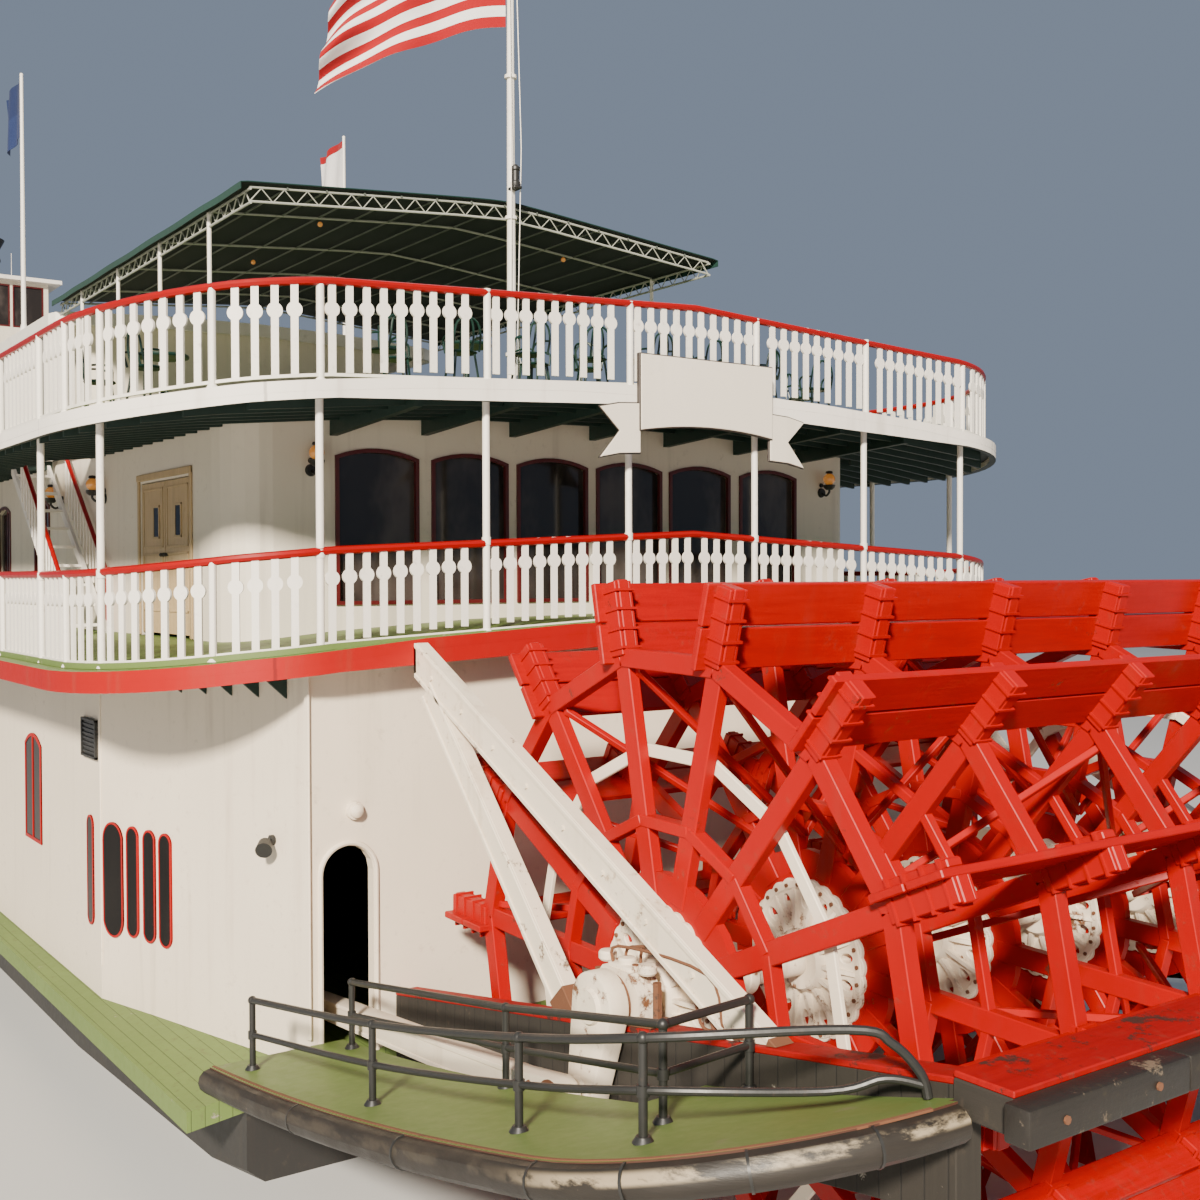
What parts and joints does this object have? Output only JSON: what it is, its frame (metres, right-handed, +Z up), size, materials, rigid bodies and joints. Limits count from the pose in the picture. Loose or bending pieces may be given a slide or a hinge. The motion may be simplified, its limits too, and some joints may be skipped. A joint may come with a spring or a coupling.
{
  "type": "sternwheel paddle steamer, 1:10 scale",
  "caption": "Three-deck river steamer with a red stern paddle wheel on cranks and pitmans, railed decks, stern awning, pilothouse, twin stacks, rudders and landing stages.",
  "frame": {"origin": "under the middle of the whole ship, at the flat bottom of the hull", "axes": "+X towards the bow, +Y to port, +Z up"},
  "size_m": [8.434, 1.48, 2.4349],
  "materials": {
    "hull": "worn dark paint",
    "deck_green": "worn deck paint",
    "cream_wall": "satin paint",
    "white_wall": "satin paint",
    "white_metal": "satin paint",
    "red_deck": "satin paint",
    "white_deck": "satin paint",
    "red_wheel": "wet satin paint",
    "white_casting": "worn satin paint",
    "weathered_timber": "weathered",
    "canvas": "matt",
    "black_metal": "satin paint",
    "machinery": "painted",
    "door_wood": "varnished",
    "striped_cloth": "matt",
    "navy_cloth": "matt"
  },
  "bodies": {
    "ship": {"hull": "hull", "main_deck": "deck_green", "main_house": "cream_wall", "engine_port": "machinery", "engine_starboard": "machinery", "boilers": "machinery", "boiler_deck": "red_deck", "boiler_house": "cream_wall", "boiler_rail": "white_metal", "hurricane_deck": "white_deck", "hurricane_rail": "white_metal", "stair_port": "white_metal", "stair_starboard": "white_metal", "nameboard": "white_wall", "awning_cover": "canvas", "awning_frame": "white_metal", "texas_house": "white_wall", "texas_roof": "white_deck", "pilothouse": "white_wall", "pilothouse_roof": "white_deck", "stack_port": "black_metal", "stack_starboard": "black_metal", "stern_staff": "white_metal", "stern_flag": "striped_cloth", "roof_staff_port": "white_metal", "roof_staff_starboard": "white_metal", "roof_flag_port": "navy_cloth", "roof_flag_starboard": "striped_cloth", "fantail_port": "weathered_timber", "fantail_starboard": "weathered_timber", "stern_beam": "weathered_timber", "bearing_port": "white_casting", "bearing_starboard": "white_casting", "fantail_brace_port": "white_metal", "fantail_brace_starboard": "white_metal", "edge_rail_port": "black_metal", "edge_rail_starboard": "black_metal", "pit_rail_port": "black_metal", "pit_rail_starboard": "black_metal", "stage_mast_port": "white_metal", "stage_mast_starboard": "white_metal", "jackstaff": "white_metal", "capstan": "black_metal"},
    "wheel": {"paddle_wheel": "red_wheel", "wheel_shaft": "white_casting"},
    "port_pitman": {"pitman_port": "white_casting"},
    "starboard_pitman": {"pitman_starboard": "white_casting"},
    "port_rudder": {"rudder_port": "hull"},
    "starboard_rudder": {"rudder_starboard": "hull"},
    "port_aft_leaf": {"door_port_aft": "door_wood"},
    "port_fore_leaf": {"door_port_fore": "door_wood"},
    "starboard_aft_leaf": {"door_starboard_aft": "door_wood"},
    "starboard_fore_leaf": {"door_starboard_fore": "door_wood"},
    "port_stage": {"landing_stage_port": "white_metal"},
    "starboard_stage": {"landing_stage_starboard": "white_metal"}
  },
  "joints": [
    {"name": "wheel_turn", "type": "hinge", "parent": "ship", "child": "wheel", "pos_m": [-3.757, 0, 0.458], "axis": [0, 1, 0], "continuous": true},
    {"name": "port_pitman_turn", "type": "hinge", "parent": "wheel", "child": "port_pitman", "pos_m": [-3.7379, 0.469, 0.3752], "axis": [0, 1, 0], "continuous": true},
    {"name": "starboard_pitman_turn", "type": "hinge", "parent": "wheel", "child": "starboard_pitman", "pos_m": [-3.6742, -0.469, 0.4771], "axis": [0, 1, 0], "continuous": true},
    {"name": "rudder_turn", "type": "hinge", "parent": "ship", "child": "port_rudder", "pos_m": [-3.147, 0.26, 0.05], "axis": [0, 0, 1], "range_deg": [-35, 35]},
    {"name": "starboard_rudder_turn", "type": "hinge", "parent": "ship", "child": "starboard_rudder", "pos_m": [-3.147, -0.26, 0.05], "axis": [0, 0, 1], "range_deg": [-35, 35]},
    {"name": "port_aft_leaf_swing", "type": "hinge", "parent": "ship", "child": "port_aft_leaf", "pos_m": [-2.963, 0.5315, 0.87], "axis": [0, 0, 1], "range_deg": [0, 95]},
    {"name": "port_fore_leaf_swing", "type": "hinge", "parent": "ship", "child": "port_fore_leaf", "pos_m": [-2.761, 0.5315, 0.87], "axis": [0, 0, -1], "range_deg": [0, 95]},
    {"name": "starboard_aft_leaf_swing", "type": "hinge", "parent": "ship", "child": "starboard_aft_leaf", "pos_m": [-2.963, -0.5315, 0.87], "axis": [0, 0, -1], "range_deg": [0, 95]},
    {"name": "starboard_fore_leaf_swing", "type": "hinge", "parent": "ship", "child": "starboard_fore_leaf", "pos_m": [-2.761, -0.5315, 0.87], "axis": [0, 0, 1], "range_deg": [0, 95]},
    {"name": "port_stage_swing", "type": "hinge", "parent": "ship", "child": "port_stage", "pos_m": [3.003, 0.3, 0.42], "axis": [0, 0, 1], "range_deg": [0, 85]},
    {"name": "starboard_stage_swing", "type": "hinge", "parent": "ship", "child": "starboard_stage", "pos_m": [3.003, -0.3, 0.42], "axis": [0, 0, -1], "range_deg": [0, 85]}
  ],
  "couplings": [
    {"joint": "port_pitman_turn", "follows": "wheel_turn", "ratio": -1},
    {"joint": "starboard_pitman_turn", "follows": "wheel_turn", "ratio": -1},
    {"joint": "starboard_rudder_turn", "follows": "rudder_turn", "ratio": 1}
  ]
}
